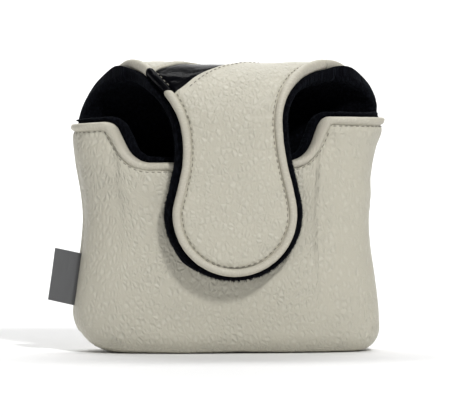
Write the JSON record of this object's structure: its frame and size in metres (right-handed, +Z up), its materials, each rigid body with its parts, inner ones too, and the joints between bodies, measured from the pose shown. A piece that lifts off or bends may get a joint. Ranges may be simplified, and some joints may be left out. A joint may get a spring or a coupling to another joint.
{
  "type": "putter head cover",
  "caption": "Padded leather cover for a mallet putter head, plush lined, with a fold-over flap held by magnets.",
  "frame": {"origin": "middle of the flat patch that the pouch stands on, in the plane of the side seams", "axes": "+Z up towards the fold, -Y out of the front panel that the flap covers, +X to the right seen from the front"},
  "size_m": [0.1471, 0.0567, 0.1262],
  "materials": {
    "cream_leather": "pebbled grain, semi-matt",
    "black_patent": "smooth, glossy",
    "black_plush": "short pile plush",
    "foam": "open cell foam sheet",
    "magnet": "nickel plated",
    "patch_cloth": "non-woven cloth",
    "thread": "bonded polyester thread",
    "label_cloth": "satin woven tape"
  },
  "bodies": {
    "pouch": {"front_leather_panel": "cream_leather", "front_foam_pad": "foam", "front_plush_lining": "black_plush", "front_rim_binding": "cream_leather", "front_magnet": "magnet", "front_magnet_patch": "patch_cloth", "back_leather_left": "cream_leather", "back_leather_right": "cream_leather", "back_stripe": "black_patent", "back_foam_pad": "foam", "back_plush_lining": "black_plush", "shoulder_binding_left": "cream_leather", "shoulder_binding_right": "cream_leather", "front_rim_stitching": "thread"},
    "bridge": {"bridge_leather_corner": "cream_leather", "bridge_leather_main": "cream_leather", "bridge_stripe": "black_patent", "bridge_foam_pad": "foam", "bridge_plush_lining": "black_plush", "bridge_binding_left": "cream_leather", "bridge_stripe_binding": "black_patent", "bridge_binding_right": "cream_leather"},
    "flap": {"flap_leather_panel": "cream_leather", "flap_stripe_tip": "black_patent", "flap_foam_pad": "foam", "flap_plush_lining": "black_plush", "flap_binding": "cream_leather", "flap_stripe_binding": "black_patent", "flap_magnet": "magnet", "flap_magnet_patch": "patch_cloth", "flap_stitching": "thread"},
    "label": {"side_label": "label_cloth"}
  },
  "joints": [
    {"name": "rear_fold", "type": "hinge", "parent": "pouch", "child": "bridge", "pos_m": [0, 0.01359, 0.11809], "axis": [-1, 0, 0], "range_deg": [0, 85]},
    {"name": "front_fold", "type": "hinge", "parent": "bridge", "child": "flap", "pos_m": [0, -0.02559, 0.11809], "axis": [-1, 0, 0], "range_deg": [0, 85]},
    {"name": "label_flex", "type": "hinge", "parent": "pouch", "child": "label", "pos_m": [-0.06538, 0, 0.03107], "axis": [0.1321, 0, 0.9912], "range_deg": [-70, 70], "stiffness_Nm_per_rad": 0.0002}
  ],
  "couplings": [
    {"joint": "front_fold", "follows": "rear_fold", "ratio": 1}
  ]
}
